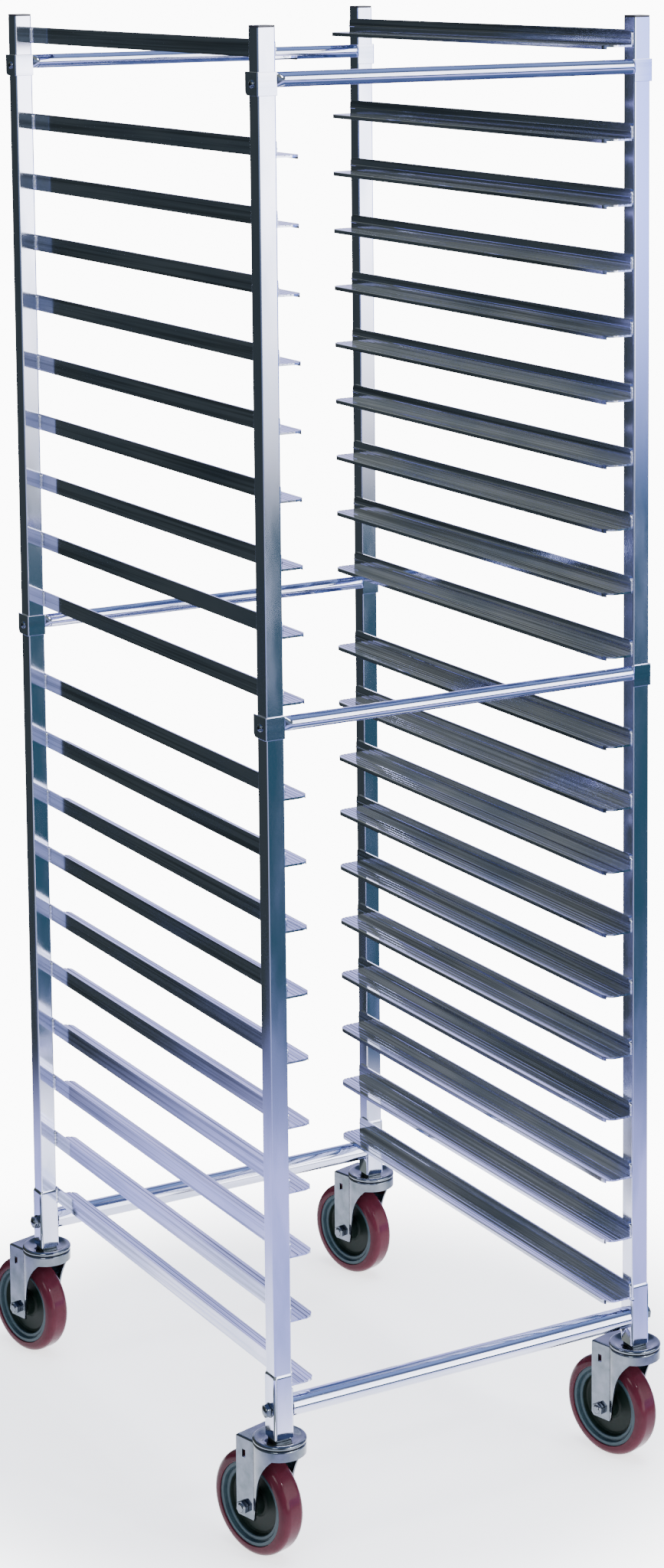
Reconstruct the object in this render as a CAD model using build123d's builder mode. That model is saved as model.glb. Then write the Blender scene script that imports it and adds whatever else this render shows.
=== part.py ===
from build123d import *
import math
import os

# Sheet pan rack: four square posts, twenty pairs of welded angle runners, six round
# crossbars and four swivel casters.  Millimetres, +Z up, front facing -Y.
# The origin is on the floor, at the middle of the bounding box.

os.makedirs("parts", exist_ok=True)

# --- frame ---------------------------------------------------------------------------
frame_width = 514.4          # over the posts' outer faces, X
frame_depth = 660.4          # over the posts' outer faces, Y
post_top = 1756.5            # floor to the cut end of the posts
post_size = 22.2             # square tube
post_wall = 1.6
post_corner = 2.0
fit_gap = 0.05               # each side, between pieces that slide together

# --- runners -------------------------------------------------------------------------
tier_count = 20
tier_pitch = 76.2
crossbar_pitch = 108.0       # below tiers 1 and 10, where a crossbar passes
crossbar_tiers = (1, 10)
top_tier_drop = 13.8         # post end to the top edge of the first runner
web_height = 20.0
web_thickness = 2.0
web_corner = 5.0
web_bead = 0.8               # radius of the bead along the web's inner face
ledge_width = 34.0           # post face to the ledge's free edge
ledge_thickness = 2.4
ledge_corner = 14.0
lip_height = 5.0
lip_thickness = 2.4
runner_setback = 3.4         # post face to the runner's end
groove_count = 4
groove_radius = 0.6
groove_pitch = 5.5
groove_first = 6.0           # free edge to the first groove

# --- top and middle crossbars --------------------------------------------------------
bar_diameter = 17.0
bar_wall = 1.6
top_bar_drop = 42.5          # top edge of the runner above to the bar's axis
middle_bar_drop = 38.4
flat_height = 26.0           # the bar's end, pressed flat
flat_thickness = 2.0
flat_taper = 4.0
tab_length = 29.0            # along the post's outer face
tab_corner = 6.0
screw_head_radius = 4.6
screw_head_height = 2.6
screw_head_dome = 2.0
screw_radius = 2.4
screw_length = 10.0
screw_gap = 0.1

# --- sleeves and bottom bars ---------------------------------------------------------
foot_height = 152.5          # floor to the foot of the posts and sleeves
sleeve_height = 76.2
sleeve_wall = 1.6
sleeve_chamfer = 1.2
sleeve_notch_gap = 1.5       # sleeve's inner wall to the lowest runner
low_bar_diameter = 25.4
low_bar_wall = 1.6
low_bar_rise = 33.0          # sleeve foot to the bar's axis
plug_length = 25.0
bolt_radius = 4.75
bolt_gap = 0.1
bolt_flange_radius = 8.6
bolt_flange_thickness = 1.4
bolt_head_flats = 14.3
bolt_head_height = 5.6
bolt_head_dome = 1.6
bolt_head_round = 1.4
bolt_engagement = 18.0       # length of the bolt inside the bar's plug

# --- end caps ------------------------------------------------------------------------
cap_thickness = 2.5
cap_plug_depth = 12.0
cap_edge = 0.8

# --- casters -------------------------------------------------------------------------
heading = 15.0               # degrees; the wheels trail to the rear and a little left
trail = 36.0
wheel_radius = 62.0
wheel_width = 32.0
tread_thickness = 12.5
tread_round = 10.0
hub_rim_width = 29.0
hub_rim_thickness = 6.0
hub_rim_draft = 4.0
hub_web_thickness = 8.0
hub_boss_radius = 14.0
hub_boss_width = 31.0
hub_boss_draft = 2.0
axle_radius = 4.75
axle_gap = 0.1
bushing_radius = 6.35
bushing_gap = 0.06           # wheel bore to the bushing
bushing_end_gap = 0.2
nut_flats = 14.3
nut_height = 6.0
axle_end = 1.6               # bolt end beyond the nut
fork_wall = 2.5
fork_inner_width = 41.0
fork_rear = 13.0             # axle to the leg's rear edge
fork_front = 20.0            # axle to the leg's front edge, at the foot
fork_foot_drop = 12.0        # axle to the foot's lower edge
fork_corner = 3.0
leg_knee_height = 92.0       # floor to the point where the leg's front edge turns
leg_sweep = 8.0              # how far the front edge comes forward from the foot to the knee
crown_radius = 31.0
crown_skirt = 12.5
skirt_front = 15.0           # swivel axis to the point where the skirt meets the legs
crown_plate = 2.7
crown_edge = 2.0
crown_gap = 0.5              # crown to the fixed raceway cap
slot_width = 5.5
slot_height = 9.5
slot_drop = 20.0             # crown top to the middle of the leg's slot
raceway_radius = 31.5
raceway_thickness = 5.4
raceway_dish = 3.2
raceway_rim = 5.0            # width of the rolled rim
raceway_floor = 15.8         # radius of the dish's flat floor
rim_round_top = 3.2
rim_round_foot = 1.6
neck_size = 20.5
neck_height = 3.6
stem_length = 62.0
kingpin_radius = 6.0
kingpin_gap = 0.06
kingpin_head_radius = 9.0
kingpin_head_height = 4.0

# --- derived sizes -------------------------------------------------------------------
heading_sin = math.sin(math.radians(heading))
heading_cos = math.cos(math.radians(heading))
post_bore = post_size - 2 * post_wall
sleeve_bore = post_size + 2 * fit_gap
sleeve_size = sleeve_bore + 2 * sleeve_wall
swivel_dx = (frame_width - post_size) / 2
swivel_dy = (frame_depth - post_size) / 2
half_width = frame_width / 2
inner_half = half_width - post_size                  # rack's middle to the posts' inner faces
runner_length = frame_depth - 2 * runner_setback

# The casters reach past the posts to the left and rear, so the rack stands off the box's middle.
tread_reach = (wheel_radius - tread_round) * heading_cos
tread_reach += (wheel_width / 2 - tread_round) * heading_sin + tread_round
rear_reach = swivel_dy + trail * heading_cos + tread_reach
front_reach = swivel_dy + raceway_radius
axle_reach = fork_inner_width / 2 + fork_wall + nut_height + axle_end
left_reach = axle_reach * heading_cos + (trail + axle_radius) * heading_sin
rack_x = (left_reach - raceway_radius) / 2
rack_y = (front_reach - rear_reach) / 2
front = rack_y - frame_depth / 2
rear = rack_y + frame_depth / 2

middle = Plane.YZ.offset(rack_x)                     # the rack's left-right mirror plane
flat_sag = (flat_height - bar_diameter) / 2          # the flat's middle below the bar's axis
low_bar_height = foot_height + low_bar_rise
side_signs = {"l": -1, "r": 1}
end_signs = {"f": -1, "r": 1}
corners = [(end + side, end_signs[end], side_signs[side]) for end in "fr" for side in "lr"]


def tier_top(number):
    """Height above the floor of a runner's top edge; number 1 is the highest tier."""
    wide_gaps = sum(1 for tier in crossbar_tiers if number > tier)
    plain_gaps = number - 1 - wide_gaps
    return post_top - top_tier_drop - wide_gaps * crossbar_pitch - plain_gaps * tier_pitch


def post_axis(end, side):
    """Plan position of a post's middle, which is also its caster's swivel axis."""
    return rack_x + side * swivel_dx, rack_y + end * swivel_dy


def save(builder, node):
    """Label a finished sub-part and write its STEP file."""
    builder.part.label = node
    export_step(builder.part, "parts/" + node + ".step")


bar_heights = {"top": tier_top(crossbar_tiers[0]) - top_bar_drop,
               "middle": tier_top(crossbar_tiers[1]) - middle_bar_drop}

# --- posts: square tube, drilled for the foot bolt and for two crossbar screws -----------
for corner, end, side in corners:
    x, y = post_axis(end, side)
    across = Plane((x, y, 0), x_dir=(0, 1, 0), z_dir=(1, 0, 0))
    with BuildPart() as post:
        with BuildSketch(Plane((x, y, foot_height))):
            RectangleRounded(post_size, post_size, post_corner)
            Rectangle(post_bore, post_bore, mode=Mode.SUBTRACT)
        extrude(amount=post_top - foot_height)
        with BuildSketch(across):
            with Locations((0, low_bar_height)):
                Circle(bolt_radius + bolt_gap)
        extrude(amount=post_size, both=True, mode=Mode.SUBTRACT)
        with BuildSketch(across):
            with Locations(*[(0, height - flat_sag) for height in bar_heights.values()]):
                Circle(screw_radius + screw_gap)
        extrude(amount=side * post_size, mode=Mode.SUBTRACT)
    save(post, "post_" + corner)

# --- end caps: a plate with a plug in the top of each post --------------------------------
with BuildPart() as end_caps:
    for corner, end, side in corners:
        x, y = post_axis(end, side)
        with BuildPart(mode=Mode.PRIVATE) as cap:
            with BuildSketch(Plane((x, y, post_top))):
                RectangleRounded(post_size, post_size, post_corner)
            extrude(amount=cap_thickness)
            fillet(cap.faces().sort_by(Axis.Z)[-1].edges(), cap_edge)
            with BuildSketch(Plane((x, y, post_top))):
                Rectangle(post_bore - 2 * fit_gap, post_bore - 2 * fit_gap)
            extrude(amount=-cap_plug_depth)
        add(cap.part)
save(end_caps, "end_caps")

# --- runners: one grooved angle on each side of every tier -------------------------------
runner_start = Plane((rack_x, front + runner_setback, 0), x_dir=(1, 0, 0), z_dir=(0, -1, 0))
runner_plan = Plane((rack_x, rack_y, 0))
runner_side = Plane((rack_x, rack_y, 0), x_dir=(0, 1, 0), z_dir=(1, 0, 0))
for number in range(1, tier_count + 1):
    web_top = tier_top(number)
    web_foot = web_top - web_height
    ledge_top = web_foot + ledge_thickness
    free_edge = inner_half - ledge_width
    with BuildPart() as runner_pair:
        with BuildSketch(runner_start):
            with BuildLine():
                Polyline((inner_half, web_foot),
                         (inner_half, web_top),
                         (inner_half - web_thickness, web_top),
                         (inner_half - web_thickness, ledge_top),
                         (free_edge, ledge_top),
                         (free_edge, ledge_top - lip_height),
                         (free_edge + lip_thickness, ledge_top - lip_height),
                         (free_edge + lip_thickness, web_foot),
                         close=True)
            make_face()
            with Locations((inner_half - web_thickness, web_foot + web_height / 2)):
                Circle(web_bead)
            with Locations(*[(free_edge + groove_first + i * groove_pitch, ledge_top)
                             for i in range(groove_count)]):
                Circle(groove_radius, mode=Mode.SUBTRACT)
        extrude(amount=-runner_length)
        with BuildSketch(runner_plan.offset(web_foot - lip_height)) as ledge_outline:
            with Locations((inner_half - ledge_width / 2, 0)):
                Rectangle(ledge_width, runner_length)
            fillet(ledge_outline.vertices().group_by(Axis.X)[0], ledge_corner)
        extrude(amount=web_height + 2 * lip_height, mode=Mode.INTERSECT)
        with BuildSketch(runner_side) as web_outline:
            with Locations((0, web_top - (web_height + lip_height) / 2)):
                Rectangle(runner_length, web_height + lip_height)
            fillet(web_outline.vertices().group_by(Axis.Y)[-1], web_corner)
        extrude(amount=inner_half, mode=Mode.INTERSECT)
        mirror(about=middle)
    save(runner_pair, f"runner_pair_{number:02d}")

# --- top and middle crossbars: round tube, its ends pressed flat and bent round the post ---
# The flat lies on the front of each post; the tab lies on the post's outer face.
for level, bar_height in bar_heights.items():
    for end_name, face_y in (("front", front), ("rear", rear - post_size)):
        flat_middle = bar_height - flat_sag
        axis_y = face_y - flat_thickness / 2
        section = Plane((rack_x, axis_y, bar_height), x_dir=(0, 1, 0), z_dir=(1, 0, 0))
        screw_place = Plane((rack_x + half_width, face_y + post_size / 2, flat_middle),
                            x_dir=(0, 1, 0), z_dir=(1, 0, 0))
        with BuildPart() as crossbar:
            with BuildSketch(section):
                Circle(bar_diameter / 2)
                Circle(bar_diameter / 2 - bar_wall, mode=Mode.SUBTRACT)
            extrude(amount=inner_half - flat_taper)
            with BuildSketch(section.offset(inner_half - flat_taper)):
                Circle(bar_diameter / 2)
            with BuildSketch(section.offset(inner_half)):
                with Locations((0, -flat_sag)):
                    SlotOverall(flat_height, flat_thickness, rotation=90)
            loft()
            with BuildSketch(Plane((rack_x, face_y, flat_middle - flat_height / 2))) as bracket:
                with BuildLine():
                    Polyline((inner_half, 0),
                             (half_width, 0),
                             (half_width, tab_length - flat_thickness),
                             (half_width + flat_thickness, tab_length - flat_thickness),
                             (half_width + flat_thickness, -flat_thickness),
                             (inner_half, -flat_thickness),
                             close=True)
                make_face()
                bend = bracket.vertices().group_by(Axis.Y)[0].sort_by(Axis.X)[-1]
                fillet(bend, flat_thickness)
            extrude(amount=flat_height)
            tab_end = crossbar.edges().filter_by(Axis.X).group_by(Axis.Y)[-1]
            fillet(tab_end.sort_by(Axis.Z)[0], tab_corner)
            with BuildSketch(screw_place):
                Circle(screw_radius + screw_gap)
            extrude(amount=flat_thickness, mode=Mode.SUBTRACT)
            mirror(about=middle)
        save(crossbar, f"crossbar_{level}_{end_name}")

# --- crossbar screws: a dome head on each tab -------------------------------------------
with BuildPart() as screw:
    with BuildSketch():
        Circle(screw_head_radius)
    extrude(amount=screw_head_height)
    fillet(screw.edges().sort_by(Axis.Z)[-1], screw_head_dome)
    with BuildSketch():
        Circle(screw_radius)
    extrude(amount=-screw_length)

with BuildPart() as crossbar_screws:
    for height in bar_heights.values():
        for corner, end, side in corners:
            x, y = post_axis(end, side)
            seat_x = rack_x + side * (half_width + flat_thickness)
            seat = Plane((seat_x, y, height - flat_sag), x_dir=(0, 1, 0), z_dir=(side, 0, 0))
            with Locations(seat):
                add(screw.part)
save(crossbar_screws, "crossbar_screws")

# --- sleeves: a larger square tube round each post's foot ---------------------------------
# The inner wall stops below the lowest runner, whose web lies on the post.
notch_height = tier_top(tier_count) - web_height - sleeve_notch_gap
for corner, end, side in corners:
    x, y = post_axis(end, side)
    with BuildPart() as sleeve:
        with BuildSketch(Plane((x, y, foot_height))):
            RectangleRounded(sleeve_size, sleeve_size, post_corner + sleeve_wall)
        extrude(amount=sleeve_height)
        chamfer(sleeve.faces().sort_by(Axis.Z)[-1].edges(), sleeve_chamfer)
        with BuildSketch(Plane((x, y, foot_height))):
            RectangleRounded(sleeve_bore, sleeve_bore, post_corner + fit_gap)
        extrude(amount=sleeve_height, mode=Mode.SUBTRACT)
        with BuildSketch(Plane((x, y, low_bar_height), x_dir=(0, 1, 0), z_dir=(1, 0, 0))):
            Circle(bolt_radius + bolt_gap)
        extrude(amount=sleeve_size, both=True, mode=Mode.SUBTRACT)
        with BuildSketch(Plane((x - side * post_size, y, notch_height))):
            Rectangle(post_size, 2 * sleeve_size)
        extrude(amount=sleeve_height, mode=Mode.SUBTRACT)
    save(sleeve, "sleeve_" + corner)

# --- bottom crossbars: tube between the sleeves, with a threaded plug in each end ---------
low_bar_half = swivel_dx - sleeve_size / 2
low_bar_bore = low_bar_diameter / 2 - low_bar_wall
for end_name, end in (("front", -1), ("rear", 1)):
    low_bar_middle = Plane((rack_x, rack_y + end * swivel_dy, low_bar_height),
                           x_dir=(0, 1, 0), z_dir=(1, 0, 0))
    with BuildPart() as low_bar:
        with BuildSketch(low_bar_middle):
            Circle(low_bar_diameter / 2)
            Circle(low_bar_bore, mode=Mode.SUBTRACT)
        extrude(amount=low_bar_half, both=True)
    save(low_bar, "crossbar_bottom_" + end_name)

with BuildPart() as bar_plugs:
    for end in end_signs.values():
        plug_end = Plane((rack_x + low_bar_half, rack_y + end * swivel_dy, low_bar_height),
                         x_dir=(0, 1, 0), z_dir=(-1, 0, 0))
        with BuildSketch(plug_end):
            Circle(low_bar_bore - fit_gap)
            Circle(bolt_radius + bolt_gap, mode=Mode.SUBTRACT)
        extrude(amount=plug_length)
    mirror(about=middle)
save(bar_plugs, "bar_plugs")

# --- foot bolts: a cap-nut head outside each sleeve, the shank in the bar's plug ----------
bolt_length = sleeve_size + bolt_engagement
with BuildPart() as bolt:
    with BuildSketch():
        Circle(bolt_flange_radius)
    extrude(amount=bolt_flange_thickness)
    with BuildSketch(Plane.XY.offset(bolt_flange_thickness)):
        RegularPolygon(bolt_head_flats / 2, 6, major_radius=False)
    extrude(amount=bolt_head_height)
    with BuildSketch(Plane.XY.offset(bolt_flange_thickness + bolt_head_height)):
        Circle(bolt_head_flats / 2)
    extrude(amount=bolt_head_dome)
    fillet(bolt.edges().sort_by(Axis.Z)[-1], bolt_head_round)
    with BuildSketch():
        Circle(bolt_radius)
    extrude(amount=-bolt_length)

with BuildPart() as foot_bolts:
    for corner, end, side in corners:
        x, y = post_axis(end, side)
        seat_x = x + side * sleeve_size / 2
        seat = Plane((seat_x, y, low_bar_height), x_dir=(0, 1, 0), z_dir=(side, 0, 0))
        with Locations(seat):
            add(bolt.part)
save(foot_bolts, "foot_bolts")

# --- casters ---------------------------------------------------------------------------
dish_floor = foot_height - neck_height
rim_top = dish_floor + raceway_dish
raceway_foot = rim_top - raceway_thickness
crown_top = raceway_foot - crown_gap
crown_underside = crown_top - crown_plate
fork_foot = wheel_radius - fork_foot_drop
leg_inner = fork_inner_width / 2
leg_outer = leg_inner + fork_wall
leg_rear = trail + fork_rear
hub_radius = wheel_radius - tread_thickness
hub_rim_inner = hub_radius - hub_rim_thickness
hub_web_radius = hub_rim_inner - hub_rim_draft

for corner, end, side in corners:
    x, y = post_axis(end, side)
    upright = Axis((x, y, 0), (0, 0, 1))
    base = Plane((x, y, 0), x_dir=(heading_cos, heading_sin, 0), z_dir=(0, 0, 1))
    wheel_side = Plane(base.origin, x_dir=base.y_dir, z_dir=base.x_dir)
    wheel_centre = base.from_local_coords((0, trail, wheel_radius))
    axle_plane = Plane(wheel_centre, x_dir=base.y_dir, z_dir=base.x_dir)
    wheel_section = Plane(wheel_centre, x_dir=base.x_dir, z_dir=-base.y_dir)
    axle_line = Axis(wheel_centre, base.x_dir)

    # Fixed head: dished raceway cap with its kingpin, a neck and the stem in the post.
    with BuildPart() as head:
        with BuildSketch(Plane((x, y, 0), x_dir=(1, 0, 0), z_dir=(0, -1, 0))) as cap_profile:
            with BuildLine():
                Polyline((0, dish_floor),
                         (raceway_floor, dish_floor),
                         (raceway_radius - raceway_rim, rim_top),
                         (raceway_radius, rim_top),
                         (raceway_radius, raceway_foot),
                         (kingpin_radius, raceway_foot),
                         (kingpin_radius, crown_underside - crown_gap),
                         (kingpin_head_radius, crown_underside - crown_gap),
                         (kingpin_radius, crown_underside - crown_gap - kingpin_head_height),
                         (0, crown_underside - crown_gap - kingpin_head_height),
                         close=True)
            make_face()
            rim_corners = cap_profile.vertices().group_by(Axis.X)[-1].sort_by(Axis.Y)
            fillet(rim_corners[0], rim_round_foot)
            fillet(rim_corners[-1], rim_round_top)
        revolve(axis=upright)
        with BuildSketch(Plane((x, y, dish_floor))):
            Rectangle(neck_size, neck_size)
        extrude(amount=neck_height)
        with BuildSketch(Plane((x, y, foot_height))):
            Rectangle(post_bore - 2 * fit_gap, post_bore - 2 * fit_gap)
        extrude(amount=stem_length)
        with BuildSketch(Plane((x, y, low_bar_height), x_dir=(0, 1, 0), z_dir=(1, 0, 0))):
            Circle(bolt_radius + bolt_gap)
        extrude(amount=post_size, both=True, mode=Mode.SUBTRACT)
    save(head, "caster_head_" + corner)

    # Fork: a pressed crown with a skirt, running down into two tapered legs.
    with BuildPart() as fork:
        with BuildSketch(base.offset(fork_foot)):
            Circle(crown_radius)
            with Locations((0, leg_rear / 2)):
                Rectangle(2 * leg_outer, leg_rear)
        extrude(amount=crown_top - fork_foot)
        fillet(fork.faces().sort_by(Axis.Z)[-1].edges(), crown_edge)
        with BuildSketch(base.offset(fork_foot)):
            Circle(crown_radius - fork_wall)
            with Locations((0, leg_rear)):
                Rectangle(2 * leg_inner, 2 * leg_rear)
        extrude(amount=crown_underside - fork_foot, mode=Mode.SUBTRACT)
        with BuildSketch(wheel_side):
            with BuildLine():
                foot_front = (trail - fork_front, fork_foot)
                knee = (trail - fork_front - leg_sweep, leg_knee_height)
                skirt_end = (-skirt_front, crown_top - crown_skirt)
                Line(foot_front, knee)
                TangentArc(knee, skirt_end, tangent=(knee[0] - foot_front[0], knee[1] - foot_front[1]))
                Polyline(skirt_end,
                         (-2 * crown_radius, crown_top - crown_skirt),
                         (-2 * crown_radius, 0),
                         (trail - fork_front, 0),
                         foot_front)
            make_face()
        extrude(amount=2 * crown_radius, both=True, mode=Mode.SUBTRACT)
        foot_edges = fork.edges().filter_by(Axis(base.origin, base.x_dir)).group_by(Axis.Z)[0]
        fillet(foot_edges, fork_corner)
        with BuildSketch(base.offset(crown_top)):
            Circle(kingpin_radius + kingpin_gap)
        extrude(amount=-2 * crown_plate, mode=Mode.SUBTRACT)
        with BuildSketch(wheel_side):
            with Locations((trail, wheel_radius)):
                Circle(axle_radius + axle_gap)
            with Locations((trail, crown_top - slot_drop)):
                Rectangle(slot_width, slot_height)
        extrude(amount=2 * leg_outer, both=True, mode=Mode.SUBTRACT)
    save(fork, "fork_" + corner)

    # Axle: a rod with a nut on each end, and the bushing that the wheel turns on.
    with BuildPart() as axle:
        with BuildSketch(axle_plane):
            Circle(axle_radius)
        extrude(amount=axle_reach, both=True)
        with BuildSketch(axle_plane):
            Circle(bushing_radius)
            Circle(axle_radius + axle_gap, mode=Mode.SUBTRACT)
        extrude(amount=leg_inner - bushing_end_gap, both=True)
        for face in (leg_outer, -leg_outer - nut_height):
            with BuildSketch(axle_plane.offset(face)):
                RegularPolygon(nut_flats / 2, 6, major_radius=False)
                Circle(axle_radius + axle_gap, mode=Mode.SUBTRACT)
            extrude(amount=nut_height)
    save(axle, "axle_" + corner)

    # Wheel: a dished hub with a moulded tread.
    with BuildPart() as hub:
        with BuildSketch(wheel_section):
            with BuildLine():
                Polyline((0, bushing_radius + bushing_gap),
                         (hub_boss_width / 2, bushing_radius + bushing_gap),
                         (hub_boss_width / 2, hub_boss_radius),
                         (hub_web_thickness / 2, hub_boss_radius + hub_boss_draft),
                         (hub_web_thickness / 2, hub_web_radius),
                         (hub_rim_width / 2, hub_rim_inner),
                         (hub_rim_width / 2, hub_radius),
                         (0, hub_radius),
                         close=True)
            make_face()
            mirror(about=Plane.YZ)
        revolve(axis=axle_line)
    save(hub, "hub_" + corner)

    with BuildPart() as tread:
        with BuildSketch(wheel_section) as tread_profile:
            with Locations((0, (hub_radius + wheel_radius) / 2)):
                Rectangle(wheel_width, wheel_radius - hub_radius)
            fillet(tread_profile.vertices().group_by(Axis.Y)[-1], tread_round)
        revolve(axis=axle_line)
    save(tread, "tread_" + corner)
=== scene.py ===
# %% [markdown]
# # A sheet pan rack
# The rack is a tall welded aluminium frame on four swivel casters. This lesson starts from a
# frame that has every piece at its true size and place, and gives each visible piece the
# rounded edges, welds, fasteners and finishes of a real one.

import math

import bpy
from mathutils import Matrix, Vector


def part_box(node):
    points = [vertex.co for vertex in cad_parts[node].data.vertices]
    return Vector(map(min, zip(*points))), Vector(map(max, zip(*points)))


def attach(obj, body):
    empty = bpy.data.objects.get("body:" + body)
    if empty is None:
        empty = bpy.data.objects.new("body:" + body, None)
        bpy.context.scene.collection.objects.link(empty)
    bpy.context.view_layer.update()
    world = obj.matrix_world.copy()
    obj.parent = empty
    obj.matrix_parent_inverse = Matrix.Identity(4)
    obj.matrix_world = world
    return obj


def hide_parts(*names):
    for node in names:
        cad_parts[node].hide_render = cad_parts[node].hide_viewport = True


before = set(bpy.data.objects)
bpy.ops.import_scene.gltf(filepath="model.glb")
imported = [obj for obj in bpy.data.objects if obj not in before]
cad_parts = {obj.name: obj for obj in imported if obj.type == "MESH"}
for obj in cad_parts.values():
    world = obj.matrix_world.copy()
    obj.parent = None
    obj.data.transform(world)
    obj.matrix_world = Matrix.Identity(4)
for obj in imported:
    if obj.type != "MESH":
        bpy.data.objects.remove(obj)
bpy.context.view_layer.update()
MM = 0.001
CORNERS = ("fl", "fr", "rl", "rr")
SIDEWAYS = {"l": -1, "r": 1}
TIERS = range(1, 21)

# %% [markdown]
# ## Where things are
# Measurements are taken from the frame's own boxes, so nothing is placed by guesswork. A post's
# middle is also the swivel axis of its caster. The casters all trail the same way, a little to
# the left of straight back. Typing the sizes in again would work too, but then the pieces here
# would no longer follow the frame if it changed.

# %% Measure the frame
def box_of(node):
    """The lowest and highest corner of a node's box."""
    low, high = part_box(node)
    return Vector(low), Vector(high)


post_middle = {}
for corner in CORNERS:
    low, high = box_of("post_" + corner)
    post_middle[corner] = (low + high) / 2
post_low, post_high = box_of("post_fl")
post_size = post_high.x - post_low.x
post_top = post_high.z
rack_middle = sum(post_middle.values(), Vector()) / 4
sleeve_low, sleeve_high = box_of("sleeve_fl")
sleeve_size = sleeve_high.y - sleeve_low.y
foot_height = sleeve_low.z
sleeve_top = sleeve_high.z
fork_low, fork_high = box_of("fork_fl")
crown_top = fork_high.z
tread_low, tread_high = box_of("tread_fl")
wheel_spot = (tread_low + tread_high) / 2
wheel_radius = tread_high.z - wheel_spot.z
reach = wheel_spot - post_middle["fl"]
trail = math.hypot(reach.x, reach.y)
heading = math.atan2(-reach.x, reach.y)
print("post", round(post_size, 4), "sleeve", round(sleeve_size, 4), "crown", round(crown_top, 4))
print("trail", round(trail, 4), "heading", round(math.degrees(heading), 1), "degrees")

# %% [markdown]
# ## Drawing and shaping helpers
# Most pieces of the real rack are made in one of two ways: a flat outline is pushed out to a
# length, as an extrusion is, or a profile is turned round an axis, as a wheel is. Both start in
# edit mode from a single point. Faces could be pushed out of a cube instead, but an outline
# shows the maker's drawing directly.

# %% Helpers for edit mode
def rest():
    """Back to object mode with nothing picked."""
    if bpy.context.mode != "OBJECT":
        bpy.ops.object.mode_set(mode="OBJECT")
    bpy.ops.object.select_all(action="DESELECT")


def pick(*pieces):
    """Only these pieces picked, the first one active."""
    rest()
    for piece in pieces:
        piece.select_set(True)
    bpy.context.view_layer.objects.active = pieces[0]


def draw(name, points):
    """A chain of edges through the points, in edit mode and all picked."""
    rest()
    bpy.ops.mesh.primitive_plane_add(size=MM, location=points[0])
    piece = bpy.context.object
    piece.name = name
    piece.data.name = name
    bpy.ops.object.mode_set(mode="EDIT")
    bpy.ops.mesh.select_mode(type="VERT")
    bpy.ops.mesh.select_all(action="SELECT")
    bpy.ops.mesh.merge(type="CENTER")
    for before, after in zip(points, points[1:]):
        step = Vector(after) - Vector(before)
        bpy.ops.mesh.extrude_vertices_move(TRANSFORM_OT_translate={"value": step})
    bpy.ops.mesh.select_all(action="SELECT")
    return piece


def prism(name, outline, push):
    """A filled outline pushed out into a solid."""
    piece = draw(name, outline)
    bpy.ops.mesh.edge_face_add()
    bpy.ops.mesh.extrude_region_move(TRANSFORM_OT_translate={"value": push})
    bpy.ops.mesh.select_all(action="SELECT")
    bpy.ops.mesh.normals_make_consistent(inside=False)
    return piece


def turned(name, profile, centre, axis, steps=48):
    """A profile spun a full turn round an axis."""
    piece = draw(name, profile)
    bpy.ops.mesh.spin(steps=steps, angle=2 * math.pi, center=centre, axis=axis)
    bpy.ops.mesh.select_all(action="SELECT")
    bpy.ops.mesh.remove_doubles(threshold=0.01 * MM)
    bpy.ops.mesh.normals_make_consistent(inside=False)
    return piece


def arc(centre_a, centre_b, radius, start, end, count):
    """Points on an arc in a plane, in degrees."""
    points = []
    for i in range(count + 1):
        angle = math.radians(start + (end - start) * i / count)
        points.append((centre_a + radius * math.cos(angle), centre_b + radius * math.sin(angle)))
    return points


def cut(piece, cutter, way="DIFFERENCE"):
    """The cutter taken away from the piece, or only what they share kept."""
    pick(piece)
    saw = piece.modifiers.new("cut", "BOOLEAN")
    saw.operation = way
    saw.solver = "EXACT"
    saw.object = cutter
    bpy.ops.object.modifier_apply(modifier=saw.name)
    bpy.data.objects.remove(cutter)


def polish(piece, edge=0.0, segments=2, angle=35):
    """Edges rounded, place put into the mesh, and smooth shading between gentle faces."""
    pick(piece)
    bpy.ops.object.transform_apply(location=True, rotation=True, scale=True)
    if edge:
        soft = piece.modifiers.new("edge", "BEVEL")
        soft.width = edge
        soft.segments = segments
        soft.limit_method = "ANGLE"
        soft.angle_limit = math.radians(angle)
        bpy.ops.object.modifier_apply(modifier=soft.name)
    bpy.ops.object.shade_smooth_by_angle(angle=math.radians(angle))
    flat = piece.modifiers.new("flat", "WEIGHTED_NORMAL")
    flat.keep_sharp = True
    bpy.ops.object.modifier_apply(modifier=flat.name)
    return piece


def round_edges(piece, size, segments, chosen):
    """Only the edges that pass a test on their two end points rounded over."""
    rest()
    ends = [piece.matrix_world @ point.co for point in piece.data.vertices]
    wanted = [chosen(*[ends[i] for i in edge.vertices]) for edge in piece.data.edges]
    pick(piece)
    bpy.ops.object.mode_set(mode="EDIT")
    bpy.ops.mesh.select_mode(type="EDGE")
    bpy.ops.mesh.select_all(action="DESELECT")
    bpy.ops.object.mode_set(mode="OBJECT")
    for edge, keep in zip(piece.data.edges, wanted):
        edge.select = keep
    bpy.ops.object.mode_set(mode="EDIT")
    bpy.ops.mesh.bevel(offset=size, segments=segments)
    rest()


def copy_to(piece, name, place):
    """A copy with its own mesh, moved by a matrix."""
    twin = piece.copy()
    twin.data = piece.data.copy()
    twin.name = name
    twin.data.name = name
    twin.data.transform(place)
    bpy.context.collection.objects.link(twin)
    return twin


def mirrored(piece):
    """Left and right swapped about the middle, before the piece is polished."""
    pick(piece)
    bpy.ops.object.transform_apply(location=True, rotation=True, scale=True)
    piece.data.transform(Matrix.Scale(-1, 4, (1, 0, 0)))
    piece.data.flip_normals()
    return piece


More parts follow.
